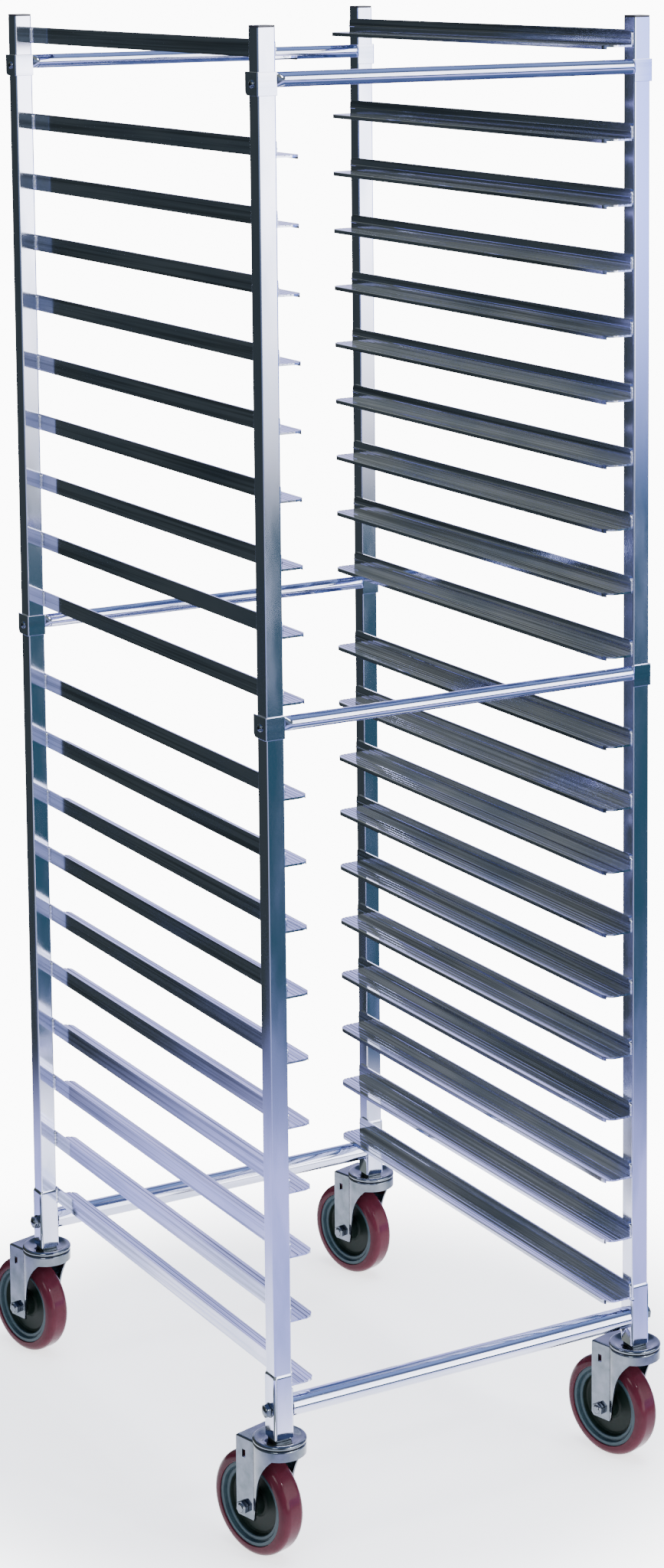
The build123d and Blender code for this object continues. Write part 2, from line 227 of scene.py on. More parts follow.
def join(name, pieces):
    """Several pieces as one mesh."""
    pick(*pieces)
    bpy.ops.object.join()
    pieces[0].name = name
    pieces[0].data.name = name
    return pieces[0]


def place_piece(piece, body, slot, *nodes):
    """The piece rides on its body and stands for its nodes."""
    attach(piece, body)
    if nodes:
        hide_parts(*nodes)


print("ready: draw, prism, turned, cut, polish, copy_to, join")

# %% [markdown]
# ## Finishes
# A finish is a small net of nodes, and the same few come back in all of them: a stretched noise,
# a range, a mix of two colours and a relief. They could be wired by hand in each material, but
# helpers keep the finishes short and alike.

# %% Helpers for node finishes
def new_finish(name, colour, metallic, roughness, shine=0.5):
    """A material and its shader, with the constants set on the shader itself."""
    finish = bpy.data.materials.new(name)
    finish.use_nodes = True
    shader = finish.node_tree.nodes["Principled BSDF"]
    shader.inputs["Base Color"].default_value = (*colour, 1)
    shader.inputs["Metallic"].default_value = metallic
    shader.inputs["Roughness"].default_value = roughness
    shader.inputs["Specular IOR Level"].default_value = shine
    return finish, shader


def node(finish, kind, **values):
    """A new node with its settings."""
    made = finish.node_tree.nodes.new(kind)
    for key, value in values.items():
        if key in made.inputs:
            made.inputs[key].default_value = value
        else:
            setattr(made, key, value)
    return made


def wire(finish, source, target):
    finish.node_tree.links.new(source, target)


def grain(finish, stretch, scale, detail=3.0):
    """Noise on Object coordinates, stretched by a vector."""
    place = node(finish, "ShaderNodeTexCoord")
    mapping = node(finish, "ShaderNodeMapping", Scale=stretch)
    noise = node(finish, "ShaderNodeTexNoise", Scale=scale, Detail=detail)
    wire(finish, place.outputs["Object"], mapping.inputs["Vector"])
    wire(finish, mapping.outputs["Vector"], noise.inputs["Vector"])
    return noise.outputs["Fac"]


def spread(finish, value, low, high, start=0.3, end=0.7):
    """A noise value mapped to a range."""
    ends = {"From Min": start, "From Max": end, "To Min": low, "To Max": high}
    span = node(finish, "ShaderNodeMapRange", **ends)
    wire(finish, value, span.inputs["Value"])
    return span.outputs["Result"]


def tint(finish, value, first, second):
    """A colour between two, chosen by a value."""
    mix = node(finish, "ShaderNodeMix", data_type="RGBA")
    mix.inputs["A"].default_value = (*first, 1)
    mix.inputs["B"].default_value = (*second, 1)
    wire(finish, value, mix.inputs["Factor"])
    return mix.outputs["Result"]


def blend_in(finish, value, first, second):
    """A running colour turned towards a fixed one by a value."""
    mix = node(finish, "ShaderNodeMix", data_type="RGBA")
    mix.inputs["B"].default_value = (*second, 1)
    wire(finish, first, mix.inputs["A"])
    wire(finish, value, mix.inputs["Factor"])
    return mix.outputs["Result"]


def relief(finish, shader, value, strength, distance):
    """Small bumps from a value."""
    bump = node(finish, "ShaderNodeBump", Strength=strength, Distance=distance)
    wire(finish, value, bump.inputs["Height"])
    wire(finish, bump.outputs["Normal"], shader.inputs["Normal"])

# %% [markdown]
# ## Aluminium
# Mill-finish aluminium is bright but not a mirror: drawing it through a die leaves fine lines
# along its length, and handling leaves cloudy patches. Painted lines would need a flat layout
# for each piece; noise on Object coordinates, stretched along the piece, follows the metal by
# itself. Runners also carry darker marks from the die, so they get a second, coarser noise.

# %% Aluminium, with lines along each axis
BRIGHT = (0.62, 0.63, 0.78)
DULL = (0.46, 0.50, 0.66)
DIE_MARK = (0.10, 0.12, 0.15)
LONGWAYS = 0.008


def drawn_aluminium(name, axis, smooth, dull, streaks=0.0):
    """Metal with fine lines along an axis, cloudy patches and, if wanted, die marks."""
    finish, shader = new_finish(name, BRIGHT, 1.0, smooth)
    fine = [1.0, 1.0, 1.0]
    fine[axis] = LONGWAYS
    wide = [1.0, 1.0, 1.0]
    wide[axis] = 0.25
    lines = grain(finish, fine, 900.0, 2.0)
    clouds = spread(finish, grain(finish, wide, 22.0, 4.0), 0.0, 1.0, 0.42, 0.68)
    metal = tint(finish, clouds, BRIGHT, DULL)
    if streaks:
        die_marks = spread(finish, grain(finish, fine, 260.0, 3.0), 0.0, streaks, 0.45, 0.65)
        metal = blend_in(finish, die_marks, metal, DIE_MARK)
    wire(finish, metal, shader.inputs["Base Color"])
    wire(finish, spread(finish, clouds, smooth, dull, 0.0, 1.0), shader.inputs["Roughness"])
    relief(finish, shader, lines, 0.02, 0.00001)
    return finish


upright_aluminium = drawn_aluminium("upright_aluminium", 2, 0.07, 0.16)
runner_aluminium = drawn_aluminium("runner_aluminium", 1, 0.07, 0.14, 0.6)
bar_aluminium = drawn_aluminium("bar_aluminium", 0, 0.06, 0.12, 0.15)
print("aluminium for uprights, runners and bars")

# %% [markdown]
# ## Zinc, welds, plastics and tread
# Zinc plate is cloudy and has no direction, so its noise isn't stretched. A weld is brighter and
# rougher than the metal round it. The hub and caps are moulded and nearly even, and the tread
# is a smooth dark red. One even colour would do from afar, but up close each needs its clouds.

# %% Zinc, weld, plastics and tread
CLOUDS = (1, 1, 1)


def plated_zinc():
    finish, shader = new_finish("plated_zinc", (0.5, 0.54, 0.6), 1.0, 0.25)
    clouds = spread(finish, grain(finish, CLOUDS, 60.0, 5.0), 0.0, 1.0, 0.35, 0.7)
    colour = tint(finish, clouds, (0.15, 0.165, 0.195), (0.095, 0.115, 0.13))
    wire(finish, colour, shader.inputs["Base Color"])
    wire(finish, spread(finish, clouds, 0.1, 0.22, 0.0, 1.0), shader.inputs["Roughness"])
    relief(finish, shader, grain(finish, CLOUDS, 700.0, 2.0), 0.04, 0.00005)
    return finish


def weld_metal():
    finish, shader = new_finish("weld_metal", (0.8, 0.82, 0.9), 1.0, 0.3)
    clouds = spread(finish, grain(finish, CLOUDS, 400.0, 3.0), 0.0, 1.0, 0.35, 0.7)
    wire(finish, tint(finish, clouds, (0.85, 0.87, 0.95), (0.5, 0.52, 0.62)),
         shader.inputs["Base Color"])
    wire(finish, spread(finish, clouds, 0.22, 0.45, 0.0, 1.0), shader.inputs["Roughness"])
    return finish


def moulded(name, colour, worn, low, high, scale, bump, shine=0.5):
    """Plastic or rubber, from its colour to a worn one and from a low roughness to a high."""
    finish, shader = new_finish(name, colour, 0.0, low, shine)
    clouds = spread(finish, grain(finish, CLOUDS, scale, 5.0), 0.0, 1.0, 0.35, 0.7)
    wire(finish, tint(finish, clouds, colour, worn), shader.inputs["Base Color"])
    wire(finish, spread(finish, clouds, low, high, 0.0, 1.0), shader.inputs["Roughness"])
    relief(finish, shader, grain(finish, CLOUDS, 900.0, 2.0), bump, 0.00006)
    return finish


zinc = plated_zinc()
weld = weld_metal()
black_plastic = moulded("black_plastic", (0.012, 0.012, 0.014), (0.03, 0.03, 0.034),
                        0.38, 0.5, 90.0, 0.25)
maroon_tread = moulded("maroon_tread", (0.054, 0.009, 0.017), (0.064, 0.012, 0.021),
                       0.12, 0.18, 70.0, 0.02, 0.10)
hub_plastic = moulded("hub_plastic", (0.020, 0.040, 0.052), (0.028, 0.052, 0.064),
                      0.35, 0.45, 80.0, 0.15, 0.2)
# Painted shade: the hub's recessed boss and web get this darker, less shiny colour.
painted_shade_plastic = moulded("painted_shade_plastic", (0.003, 0.008, 0.006), (0.006, 0.013, 0.011),
                       0.4, 0.5, 80.0, 0.15, 0.12)
print("zinc, weld, cap, tread and hub finishes")

# %% [markdown]
# ## Finishes on the frame
# Every node gets the finish of its own metal or plastic. Most are covered later by a finer
# piece. The posts stay as they are, since a square tube already has its true shape.

# %% Coat the frame
def coat(piece, finish):
    """The piece wears one finish all over."""
    piece.data.materials.clear()
    piece.data.materials.append(finish)


def coat_node(name, finish):
    """A node of the frame wears the finish in each of its slots."""
    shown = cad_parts[name]
    for place in shown.material_slots:
        place.material = finish


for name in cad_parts:
    if name.startswith(("post_", "sleeve_")):
        coat_node(name, upright_aluminium)
    elif name.startswith("runner_pair"):
        coat_node(name, runner_aluminium)
    elif name.startswith("crossbar_") and name != "crossbar_screws":
        coat_node(name, bar_aluminium)
    elif name == "end_caps":
        coat_node(name, black_plastic)
    elif name.startswith("tread_"):
        coat_node(name, maroon_tread)
    elif name.startswith("hub_"):
        coat_node(name, hub_plastic)
    else:
        coat_node(name, zinc)
print("coated", len(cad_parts), "nodes")

# %% [markdown]
# ## Wheels
# Each wheel is a moulded hub with a maroon tread cast round it. A torus could stand for the
# tread, but its section would be a plain circle. A profile spun round the axle gives the flat
# running face and the full round shoulders. All four casters are the same, so one is made at
# the middle of the floor and copied to each corner.

# %% Tread
wheel_centre = Vector((0, trail, wheel_spot.z))
WHEEL = wheel_radius / MM
TREAD = 12.5
HUB = WHEEL - TREAD
SHOULDER = 9.5
ACROSS = (1, 0, 0)
UP = (0, 0, 1)


def wheel_profile(points):
    """Points given as half-width and radius, in millimetres, in the wheel's upright plane."""
    return [wheel_centre + Vector((x, 0, r)) * MM for x, r in points]


left_shoulder = arc(-6.5, WHEEL - SHOULDER, SHOULDER, 180, 90, 7)
right_shoulder = arc(6.5, WHEEL - SHOULDER, SHOULDER, 90, 0, 7)
tread_edge = [(-15.6, HUB), (-16.0, HUB + 0.5)] + left_shoulder + right_shoulder
tread_edge += [(16.0, HUB + 0.5), (15.6, HUB), (-15.6, HUB)]
tread = turned("tread", wheel_profile(tread_edge), wheel_centre, ACROSS, 72)
polish(tread)
coat(tread, maroon_tread)
print("tread", len(tread.data.polygons), "faces")

# %% [markdown]
# ## Hubs
# The hub steps in from a raised rim to a thin web, and rises again to a boss round the
# axle. A cylinder with insets could give the steps, but the real ones slope a little so that
# the hub leaves its mould, and one profile holds them all. Its boss and web, inside the rim, get a
# darker colour: painted shade in that recess.

# %% Hub
boss_side = [(15.5, 6.45), (15.5, 12.6), (14.7, 13.8), (6.0, 16.0), (4.2, 18.5)]
rim_side = [(3.8, 14.5), (5.2, 12.2), (9.6, 10.6), (10.6, 9.8), (10.8, 8.6), (10.8, 6.8),
            (10.2, 6.1), (10.2, 5.5), (13.4, 4.8), (14.3, 4.3), (14.5, 3.7), (14.5, 0.8),
            (14.1, 0.0)]
DARK_BELOW = 11.4
hub_side = boss_side + [(x, HUB - depth) for x, depth in rim_side]
hub_edge = hub_side + [(-x, r) for x, r in reversed(hub_side)] + hub_side[:1]
hub = turned("hub", wheel_profile(hub_edge), wheel_centre, ACROSS, 72)
polish(hub, angle=28)
coat(hub, hub_plastic)
# Painted shade: faces of the recessed dish inside the rim take the darker colour.
hub.data.materials.append(painted_shade_plastic)
for face in hub.data.polygons:
    out = face.center - wheel_centre
    if math.hypot(out.y, out.z) < (HUB - DARK_BELOW) * MM:
        face.material_index = 1
print("hub", len(hub.data.polygons), "faces")

# %% [markdown]
# ## Forks
# The fork is pressed from one steel blank: a round crown with a skirt, and two flat legs that
# trail back from it to the axle. Folding a flat sheet would follow the press, but the crown's
# round corner is hard to fold cleanly. So a solid block has its inside, the sweep of the legs'
# front edges and the holes taken away.

# %% Fork
LEG_HALF = 23.0
CROWN = 31.0
STEEL = 2.5
TRAIL = trail / MM
LEG_REAR = TRAIL + 13.0
LEG_FRONT = TRAIL - 20.0
SKIRT = 12.5
KINGPIN = 6.0
fork_foot = fork_low.z / MM
crown_z = crown_top / MM


def plan(points, z):
    """Points seen from above, at one height, in millimetres."""
    return [Vector((x, y, z)) * MM for x, y in points]


def side(points, x):
    """Points seen from the side, given as depth and height, in millimetres."""
    return [Vector((x, y, z)) * MM for y, z in points]


def fork_plan(radius, half, rear):
    """The crown's round front running into the two straight legs."""
    meet = math.degrees(math.acos(half / radius))
    return arc(0, 0, radius, meet, -180 - meet, 40) + [(-half, rear), (half, rear)]


def cut_across(name, points):
    """An outline seen from the side, cut through the fork from left to right."""
    cut(fork, prism(name, side(points, -2 * CROWN), Vector((4 * CROWN, 0, 0)) * MM))


fork = prism("fork", plan(fork_plan(CROWN, LEG_HALF, LEG_REAR), fork_foot),
             Vector((0, 0, crown_z - fork_foot)) * MM)
round_edges(fork, 2.2 * MM, 4, lambda a, b: min(a.z, b.z) > crown_top - 0.1 * MM)
inside = prism("inside", plan(fork_plan(CROWN - STEEL, LEG_HALF - STEEL, 2 * LEG_REAR),
                              fork_foot - 10),
               Vector((0, 0, crown_z - STEEL - fork_foot + 10)) * MM)
cut(fork, inside)
pin_hole = plan(arc(0, 0, KINGPIN + 0.3, 0, 345, 23), crown_z - 2 * STEEL)
cut(fork, prism("pin_hole", pin_hole, Vector((0, 0, 4 * STEEL)) * MM))
knee = Vector((LEG_FRONT - 8.0, 92.0))
lean = (knee - Vector((LEG_FRONT, fork_foot))).normalized()
skirt_end = Vector((-15.0, crown_z - SKIRT))
inward = Vector((-lean.y, lean.x))
chord = skirt_end - knee
radius = chord.length_squared / (2 * chord.dot(inward))
hinge = knee + inward * radius
turns = [math.degrees(math.atan2(p.y - hinge.y, p.x - hinge.x)) for p in (knee, skirt_end)]
sweep = [(LEG_FRONT + 2.3, fork_foot - 12)]
sweep += arc(hinge.x, hinge.y, radius, turns[0], turns[1], 14)
sweep += [(-2 * CROWN, crown_z - SKIRT), (-2 * CROWN, fork_foot - 12)]
cut_across("front_sweep", sweep)
slot_z = crown_z - 20
cut_across("slot", [(TRAIL - 2.75, slot_z - 4.75), (TRAIL + 2.75, slot_z - 4.75),
                    (TRAIL + 2.75, slot_z + 4.75), (TRAIL - 2.75, slot_z + 4.75)])
cut_across("foot_back", [(LEG_REAR + 1, fork_foot - 1), (LEG_REAR - 4, fork_foot - 1),
                         (LEG_REAR, fork_foot + 4), (LEG_REAR + 1, fork_foot + 4)])
cut_across("foot_front", [(LEG_FRONT - 5, fork_foot - 1), (LEG_FRONT + 4, fork_foot - 1),
                          (LEG_FRONT - 0.8, fork_foot + 4), (LEG_FRONT - 5, fork_foot + 4)])
polish(fork, 0.45 * MM, 2, 32)
coat(fork, zinc)
print("fork", len(fork.data.polygons), "faces")

# %% [markdown]
# ## Swivel heads
# Above each crown sits a dished cap with a rolled rim, which holds the ball race. A square neck
# stands in the dish and carries the post. The rim's roll catches the light as a bright ring, so
# it is drawn as a true arc in the profile and not left to a bevel, and a kingpin hangs below.

# %% Swivel head
RIM = 31.5
FOOT = foot_height / MM


def upright(name, rings, steps, base=0.0):
    """A profile of radius and height, in millimetres, spun round the upright axis."""
    return turned(name, [Vector((r, 0, base + z)) * MM for r, z in rings], (0, 0, 0), UP, steps)


dish = [(0.0, -3.6), (15.8, -3.6), (19.5, -3.2), (23.8, -1.7), (26.0, -0.8)]
dish += arc(RIM - 2.8, -3.15, 2.75, 112, -72, 12)
dish += [(RIM - 3.3, -5.8), (KINGPIN, -5.8), (KINGPIN, -9.5), (9.0, -9.7), (6.4, -13.4),
         (0.0, -13.5)]
race_cap = upright("race_cap", dish, 64, FOOT)
polish(race_cap, angle=40)
NECK = 10.25
square_neck = prism("neck", plan([(-NECK, -NECK), (NECK, -NECK), (NECK, NECK), (-NECK, NECK)],
                                 FOOT - 4.2), Vector((0, 0, 4.2)) * MM)
polish(square_neck, 1.2 * MM, 3)
square_neck.data.transform(Matrix.Rotation(-heading, 4, "Z"))
swivel_head = join("swivel_head", [race_cap, square_neck])
coat(swivel_head, zinc)
print("swivel head", len(swivel_head.data.polygons), "faces")

# %% [markdown]
# ## Nuts, bolts and screws
# A nut is a hexagon with its corners turned off, a collar and the bolt's end. The bolts at the
# foot of the posts have a flange and a domed cap, and the crossbars' screws have a cross in a
# low round head. Each could be one cylinder with a bevel, but up close the hexagon and the ring
# are what make it a nut. Each shape is made once, lying flat, and turned when it is copied.

# %% Nut and bolt shapes
def hexagon(flats):
    """Six corners, from the distance between two flats."""
    radius = flats / math.sqrt(3)
    return arc(0, 0, radius, 0, 300, 5)


def nut(name, flats, height, tip_radius, tip_height):
    """A nut on its bolt end, seated on the floor and pointing up."""
    body = prism(name, plan(hexagon(flats), 0), Vector((0, 0, height)) * MM)
    polish(body, 0.8 * MM, 2, 50)
    top = height + 0.9
    rings = [(0.0, height - 0.5), (flats * 0.45, height - 0.5), (flats * 0.42, top - 0.3),
             (flats * 0.36, top), (tip_radius + 0.5, top), (tip_radius, top - 0.4),
             (tip_radius, height + tip_height - 0.6), (tip_radius - 0.7, height + tip_height),
             (0.0, height + tip_height)]
    collar = upright("collar", rings, 24)
    polish(collar, angle=40)
    return join(name, [body, collar])


def dome_bolt(name, flats, flange_radius):
    """A flanged bolt head with a domed cap, seated on the floor and pointing up."""
    body = prism(name, plan(hexagon(flats), 1.2), Vector((0, 0, 5.2)) * MM)
    polish(body, 0.7 * MM, 2, 50)
    rings = [(0.0, 0.0), (flange_radius - 0.3, 0.0), (flange_radius, 0.4),
             (flange_radius - 0.2, 1.0), (flats * 0.52, 1.5), (0.0, 1.5)]
    flange = upright("flange", rings, 32)
    polish(flange, angle=40)
    cap = [(0.0, 6.0), (flats * 0.44, 6.0)]
    for lift in range(10, 91, 16):
        angle = math.radians(lift)
        cap.append((flats * 0.44 * math.cos(angle), 6.2 + 2.3 * math.sin(angle)))
    dome = upright("dome", cap + [(0.0, 8.5)], 32)
    polish(dome, angle=50)
    return join(name, [body, flange, dome])


def pan_screw(name, radius, height):
    """A pan head with a cross in it, seated on the floor and pointing up."""
    rings = [(0.0, -0.2), (radius, -0.2), (radius, 0.5), (radius * 0.93, 1.3),
             (radius * 0.7, height * 0.85), (radius * 0.4, height), (0.0, height)]
    head = upright(name, rings, 24)
    arm = radius * 0.55
    bar = radius * 0.13
    for long, wide in ((arm, bar), (bar, arm)):
        flutes = [(-long, -wide), (long, -wide), (long, wide), (-long, wide)]
        cut(head, prism("flute", plan(flutes, height * 0.55), Vector((0, 0, height)) * MM))
    return polish(head, angle=40)


OUTWARD = {"l": Matrix.Rotation(-math.pi / 2, 4, "Y"), "r": Matrix.Rotation(math.pi / 2, 4, "Y")}
FLATS = 14.3
axle_nut = nut("axle_nut", FLATS, 6.0, 4.75, 1.6)
foot_bolt = dome_bolt("foot_bolt", FLATS, 8.6)
tab_screw = pan_screw("tab_screw", 4.6, 2.6)
for shape in (axle_nut, foot_bolt, tab_screw):
    coat(shape, zinc)
    print(shape.name, len(shape.data.polygons), "faces")

# %% [markdown]
# ## Axles
# The axle is a bolt through both legs with a nut on each end, and the wheel turns on a bushing
# between them. The two nuts are turned by different amounts, as they would be by a spanner. The
# rod's hidden part could be left out, but it shows between hub and leg from below.

# %% Axle with both nuts
rod = [(-20.4, 0.0), (-20.4, 9.0), (-18.9, 9.0), (-18.7, 6.35), (18.7, 6.35), (18.9, 9.0),
       (20.4, 9.0), (20.4, 0.0)]
bushing = turned("bushing", wheel_profile(rod), wheel_centre, ACROSS, 32)
polish(bushing, angle=40)
ends = [bushing]
for hand, sign in SIDEWAYS.items():
    seat = wheel_centre + Vector((sign * LEG_HALF * MM, 0, 0))
    turn_nut = Matrix.Rotation(math.radians(14 + 9 * sign), 4, "X")
    ends.append(copy_to(axle_nut, "end_nut", Matrix.Translation(seat) @ turn_nut @ OUTWARD[hand]))
axle = join("axle", ends)
coat(axle, zinc)
bpy.data.objects.remove(axle_nut)
print("axle", len(axle.data.polygons), "faces")

# %% [markdown]
# ## The four casters
# Each piece of the caster is copied to each corner and turned to the heading. Copies that share
# one mesh would be lighter, but each has its own here, so that its place can be put into its
# mesh. The wheel and tread ride on the wheel, the fork and axle on the swivel.

# %% Copy the caster to each corner
def at_corner(corner, z=0):
    """A move to the middle of a post."""
    return Matrix.Translation((post_middle[corner].x, post_middle[corner].y, z))


casters = (("tread", tread, "wheel_", "tread"), ("hub", hub, "wheel_", "hub"),
           ("fork", fork, "swivel_", "zinc_steel"), ("axle", axle, "swivel_", "zinc_steel"),
           ("caster_head", swivel_head, "rack", "zinc_steel"))
for corner in CORNERS:
    place = at_corner(corner) @ Matrix.Rotation(heading, 4, "Z")
    for name, shape, body, slot in casters:
        piece = copy_to(shape, name + "_shape_" + corner, place)
        rides_on = body if body == "rack" else body + corner
        place_piece(piece, rides_on, slot, name + "_" + corner)
for name, shape, body, slot in casters:
    bpy.data.objects.remove(shape)
print("casters placed at", len(CORNERS), "corners")

# %% [markdown]
# ## Post caps
# A black plastic cap closes the top of each post. A cube with a bevel would do, but the cap
# follows the tube's own round corners, so it starts from the same rounded square.

# %% Caps
def square(half, corner_radius, count=4):
    """A square with round corners."""
    inner = half - corner_radius
    points = []
    for (sx, sy), start in (((1, 1), 0), ((-1, 1), 90), ((-1, -1), 180), ((1, -1), 270)):
        points += arc(sx * inner, sy * inner, corner_radius, start, start + 90, count)
    return points


half_post = post_size / MM / 2
cap = prism("cap", plan(square(half_post, 2.0), post_top / MM), Vector((0, 0, 2.5)) * MM)
polish(cap, 0.7 * MM, 3, 50)
caps = [copy_to(cap, "cap", at_corner(corner)) for corner in CORNERS]
bpy.data.objects.remove(cap)
post_caps = join("post_caps", caps)
coat(post_caps, black_plastic)
place_piece(post_caps, "rack", "black_plastic", "end_caps")
print("caps", len(caps))

# %% [markdown]
# ## Foot bolts and crossbar screws
# One flanged bolt goes through each sleeve and post into the bottom bar, and one screw holds
# each end of the upper crossbars. Their heads are turned by a different amount at each place,
# as hand-tightened ones are. Each set stays one piece, as it is one node in the frame.

# %% Foot bolts and tab screws
bolt_low, bolt_high = box_of("foot_bolts")
bolt_z = (bolt_low.z + bolt_high.z) / 2
bolts = []
for corner in CORNERS:
    hand = corner[1]
    seat = post_middle[corner].copy()
    seat.x += SIDEWAYS[hand] * sleeve_size / 2
    seat.z = bolt_z
    spin = Matrix.Rotation(math.radians(11 * len(bolts)), 4, "X")
    bolts.append(copy_to(foot_bolt, "bolt", Matrix.Translation(seat) @ spin @ OUTWARD[hand]))
bpy.data.objects.remove(foot_bolt)
place_piece(join("foot_bolt_heads", bolts), "rack", "zinc_steel", "foot_bolts")

screws = []
TAB = 2 * MM
for level in ("top", "middle"):
    low, high = box_of("crossbar_" + level + "_front")
    for corner in CORNERS:
        hand = corner[1]
        seat = post_middle[corner].copy()
        seat.x += SIDEWAYS[hand] * (post_size / 2 + TAB)
        seat.z = (low.z + high.z) / 2
        spin = Matrix.Rotation(math.radians(23 * len(screws)), 4, "X")
        screws.append(copy_to(tab_screw, "screw", Matrix.Translation(seat) @ spin @ OUTWARD[hand]))
bpy.data.objects.remove(tab_screw)
place_piece(join("crossbar_screw_heads", screws), "rack", "zinc_steel", "crossbar_screws")
print("foot bolts", len(bolts), "crossbar screws", len(screws))

# %% [markdown]
# ## Rings pushed along a line
# A tube that is pressed flat at its ends and a weld bead both have a round section that changes
# as it goes. A curve with a bevel could carry the section, but a ring that is pushed and
# resized step by step keeps each section in plain sight.

# %% A ring pushed along a line
def pushed_ring(name, start, radius, vertices, turn, stops):
    """A circle at start, pushed by each stop's step and scaled to the stop's size."""
    rest()
    bpy.ops.mesh.primitive_circle_add(vertices=vertices, radius=radius, fill_type="NGON",
                                      location=start, rotation=turn)
    piece = bpy.context.object
    piece.name = name
    bpy.ops.object.mode_set(mode="EDIT")
    bpy.ops.mesh.select_all(action="SELECT")
    now = Vector(start)
    size = Vector((1, 1, 1))
    for step, wanted in stops:
        if Vector(step).length:
            bpy.ops.mesh.extrude_region_move(TRANSFORM_OT_translate={"value": step})
        now = now + Vector(step)
        factor = [w / s for w, s in zip(wanted, size)]
        bpy.ops.transform.resize(value=factor, center_override=now)
        size = Vector(wanted)
    bpy.ops.mesh.select_all(action="SELECT")
    bpy.ops.mesh.normals_make_consistent(inside=False)
    return piece


print("ready: pushed_ring")

# %% [markdown]
# ## Upper crossbars
# The upper crossbars are round tubes whose ends are pressed flat and bent round the posts. The
# flat lies on the post's face and a short tab lies on its side. One ring pushed all the way
# would leave soft edges on the flat, so the tube is squeezed only near its ends, and the bent
# plate is its own outline with crisp edges and two rounded lower corners.

# %% Upper crossbars
low, high = box_of("crossbar_top_front")
PLATE = TAB / MM
BAR_RADIUS = 8.5
SAG = 4.5
TAB_REACH = 27
PLATE_TALL = 26
HALF_OUT = (high.x - low.x) / 2 / MM - PLATE
HALF_IN = HALF_OUT - post_size / MM
squash = ((0.0, 0.22), (1.2, 0.4), (2.8, 0.68), (5.0, 0.9), (7.5, 1.0))
profile = [(-HALF_IN + x, depth) for x, depth in squash]
profile += [(-x, depth) for x, depth in reversed(profile)]
stops = [((0, 0, 0), (1, profile[0][1], 1))]
for (x, depth), (next_x, next_depth) in zip(profile, profile[1:]):
    stops.append((Vector((next_x - x, 0, 0)) * MM, (1, next_depth, 1)))
tube = pushed_ring("tube", Vector((-HALF_IN, 0, 0)) * MM, BAR_RADIUS * MM, 40,
                   (0, math.pi / 2, 0), stops)
polish(tube, angle=40)
BACK = PLATE / 2
bend = [(HALF_IN - 0.4, BACK), (HALF_OUT, BACK), (HALF_OUT, BACK + TAB_REACH),
        (HALF_OUT + PLATE, BACK + TAB_REACH), (HALF_OUT + PLATE, BACK)]
bend += arc(HALF_OUT, BACK, PLATE, -15, -90, 5)
bend += [(HALF_IN - 0.4, BACK - PLATE)]
plates = []
for sign in (-1, 1):
    plate = prism("plate", plan(bend, -SAG - PLATE_TALL / 2), Vector((0, 0, PLATE_TALL)) * MM)
    round_edges(plate, 6 * MM, 6, lambda a, b: max(a.z, b.z) < (-SAG - 12.9) * MM
                and min(a.y, b.y) > (BACK + TAB_REACH - 0.1) * MM)
    if sign < 0:
        mirrored(plate)
    plates.append(polish(plate, 0.45 * MM, 2, 40))
crossbar = join("crossbar", [tube] + plates)
coat(crossbar, bar_aluminium)
for level in ("top", "middle"):
    for end in ("front", "rear"):
        node_name = "crossbar_" + level + "_" + end
        low, high = box_of(node_name)
        place = Vector((rack_middle.x, low.y + BAR_RADIUS * MM, (low.z + high.z) / 2 + SAG * MM))
        piece = copy_to(crossbar, node_name + "_shape", Matrix.Translation(place))
        place_piece(piece, "rack", "aluminium_tube", node_name)
print("crossbar", len(crossbar.data.polygons), "faces")
bpy.data.objects.remove(crossbar)

# %% [markdown]
# ## Bottom crossbars
# The two bottom bars are plain, thicker tubes that butt against the sleeves, so they are held by
# the foot bolts alone. A cylinder is enough for the tube. The same pushed ring is used here,
# since its first and last steps also give the turned-off ends.

# %% Bottom crossbars
low, high = box_of("crossbar_bottom_front")
thick = (high.z - low.z) / 2
span = high.x - low.x
NIP = 0.6 * MM
stops = [((0, 0, 0), (1, 0.96, 0.96)), ((NIP, 0, 0), (1, 1, 1)),
         ((span - 2 * NIP, 0, 0), (1, 1, 1)), ((NIP, 0, 0), (1, 0.96, 0.96))]
bottom_bar = pushed_ring("bottom_bar", Vector((-span / 2, 0, 0)), thick, 48,
                         (0, math.pi / 2, 0), stops)
polish(bottom_bar, angle=40)
coat(bottom_bar, bar_aluminium)
for end in ("front", "rear"):
    low, high = box_of("crossbar_bottom_" + end)
    piece = copy_to(bottom_bar, "bottom_bar_" + end, Matrix.Translation((low + high) / 2))
    place_piece(piece, "rack", "aluminium_tube", "crossbar_bottom_" + end)
print("bottom bar", len(bottom_bar.data.polygons), "faces")
bpy.data.objects.remove(bottom_bar)

# %% [markdown]
# ## Sleeves
# A short, larger tube slides over the foot of each post and carries the caster below. Its top
# edge is dressed down to the post, which leaves a bright sloping band. A bevel on the top edge
# would be too even, so the top face is pushed up and drawn in. The inner wall is cut away where
# the lowest runner lies on the post.

